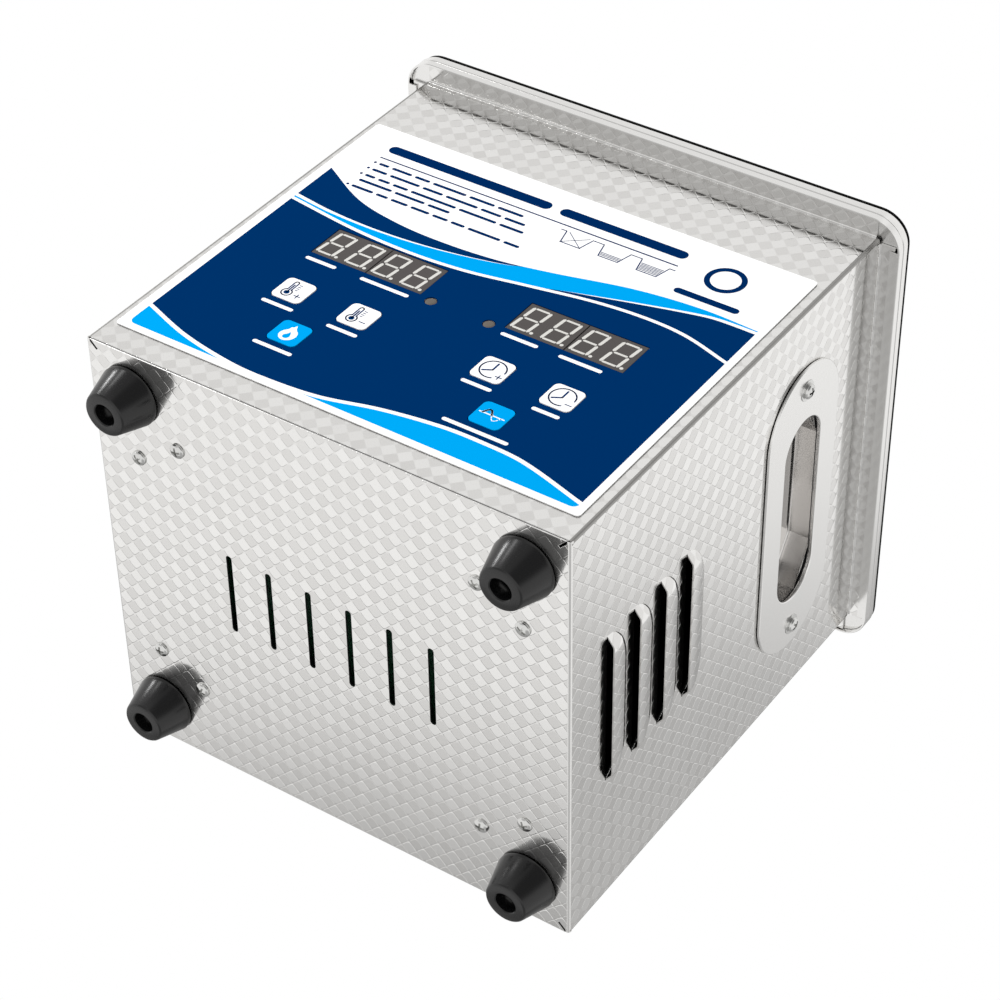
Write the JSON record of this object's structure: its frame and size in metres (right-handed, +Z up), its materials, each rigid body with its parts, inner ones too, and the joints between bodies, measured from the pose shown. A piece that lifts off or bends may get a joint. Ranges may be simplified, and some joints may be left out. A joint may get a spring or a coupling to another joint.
{
  "type": "ultrasonic cleaner",
  "caption": "Bench-top ultrasonic cleaner: embossed steel casing on rubber feet, keypad front, deep tank with lift-off lid, side hand grips, cooling louvres and a rear fan.",
  "frame": {"origin": "centre of the footprint, at the bottom of the four feet", "axes": "+Z up, -Y out of the control panel, +X to the right of someone facing the control panel"},
  "size_m": [0.293, 0.268, 0.3456],
  "materials": {
    "embossed_steel": "embossed diamond pattern, semi-polished",
    "polished_steel": "polished stainless sheet",
    "black_rubber": "moulded, slightly glossy",
    "black_plastic": "moulded, fine texture",
    "zinc_steel": "bright zinc",
    "transducer_alloy": "turned",
    "label_film": "printed polyester film, navy and cyan on white",
    "white_key": "satin film",
    "cyan_key": "satin film",
    "display_grey": "unlit 7-segment module",
    "lamp_lens": "unlit smoked lens",
    "circuit_board": "solder mask",
    "heater_silicone": "silicone heater mat",
    "rocker_plastic": "moulded"
  },
  "bodies": {
    "casing": {"bottom_plate": "embossed_steel", "front_panel": "embossed_steel", "rear_panel": "embossed_steel", "right_side_panel": "embossed_steel", "left_side_panel": "embossed_steel", "tank": "polished_steel", "grip_plate_left": "polished_steel", "grip_plate_right": "polished_steel", "grip_pocket_left": "polished_steel", "grip_pocket_right": "polished_steel", "rim_seal": "black_rubber", "foot_front_left": "black_rubber", "foot_screw_front_left": "zinc_steel", "board_screw_front_left": "zinc_steel", "bracket_screw_front_left": "zinc_steel", "transducer_front_left": "transducer_alloy", "foot_front_right": "black_rubber", "foot_screw_front_right": "zinc_steel", "board_screw_front_right": "zinc_steel", "bracket_screw_front_right": "zinc_steel", "transducer_front_right": "transducer_alloy", "foot_rear_left": "black_rubber", "foot_screw_rear_left": "zinc_steel", "board_screw_rear_left": "zinc_steel", "bracket_screw_rear_left": "zinc_steel", "transducer_rear_left": "transducer_alloy", "foot_rear_right": "black_rubber", "foot_screw_rear_right": "zinc_steel", "board_screw_rear_right": "zinc_steel", "bracket_screw_rear_right": "zinc_steel", "transducer_rear_right": "transducer_alloy", "grip_screw_left_front": "zinc_steel", "grip_screw_left_rear": "zinc_steel", "grip_screw_right_front": "zinc_steel", "grip_screw_right_rear": "zinc_steel", "label_panel": "label_film", "display_set_temperature": "display_grey", "display_actual_temperature": "display_grey", "display_minutes": "display_grey", "display_seconds": "display_grey", "lamp_heater": "lamp_lens", "lamp_ultrasonic": "lamp_lens", "control_board": "circuit_board", "generator_board": "circuit_board", "heater_pad_front": "heater_silicone", "heater_pad_rear": "heater_silicone", "temperature_sensor": "black_plastic", "fan_housing": "black_plastic", "fan_guard": "zinc_steel", "power_inlet": "black_plastic"},
    "lid": {"lid": "polished_steel", "lid_handle": "black_plastic"},
    "fan_rotor": {"fan_rotor": "black_plastic"},
    "power_rocker": {"power_rocker": "rocker_plastic"},
    "key_temperature_up": {"key_temperature_up": "white_key"},
    "key_temperature_down": {"key_temperature_down": "white_key"},
    "key_heater": {"key_heater": "cyan_key"},
    "key_time_up": {"key_time_up": "white_key"},
    "key_time_down": {"key_time_down": "white_key"},
    "key_ultrasonic": {"key_ultrasonic": "cyan_key"}
  },
  "joints": [
    {"name": "lid_lift", "type": "slide", "parent": "casing", "child": "lid", "axis": [0, 0, 1], "range_m": [0, 0.12]},
    {"name": "press_temperature_up", "type": "slide", "parent": "casing", "child": "key_temperature_up", "axis": [0, 1, 0], "range_m": [0, 0.0008], "stiffness_N_per_m": 1200},
    {"name": "press_temperature_down", "type": "slide", "parent": "casing", "child": "key_temperature_down", "axis": [0, 1, 0], "range_m": [0, 0.0008], "stiffness_N_per_m": 1200},
    {"name": "press_heater", "type": "slide", "parent": "casing", "child": "key_heater", "axis": [0, 1, 0], "range_m": [0, 0.0008], "stiffness_N_per_m": 1200},
    {"name": "press_time_up", "type": "slide", "parent": "casing", "child": "key_time_up", "axis": [0, 1, 0], "range_m": [0, 0.0008], "stiffness_N_per_m": 1200},
    {"name": "press_time_down", "type": "slide", "parent": "casing", "child": "key_time_down", "axis": [0, 1, 0], "range_m": [0, 0.0008], "stiffness_N_per_m": 1200},
    {"name": "press_ultrasonic", "type": "slide", "parent": "casing", "child": "key_ultrasonic", "axis": [0, 1, 0], "range_m": [0, 0.0008], "stiffness_N_per_m": 1200},
    {"name": "fan_spin", "type": "hinge", "parent": "casing", "child": "fan_rotor", "pos_m": [-0.06, 0.108, 0.085], "axis": [0, 1, 0], "continuous": true},
    {"name": "rocker_switch", "type": "hinge", "parent": "casing", "child": "power_rocker", "pos_m": [0.075, 0.12, 0.092], "axis": [1, 0, 0], "range_deg": [-20, 0]}
  ]
}
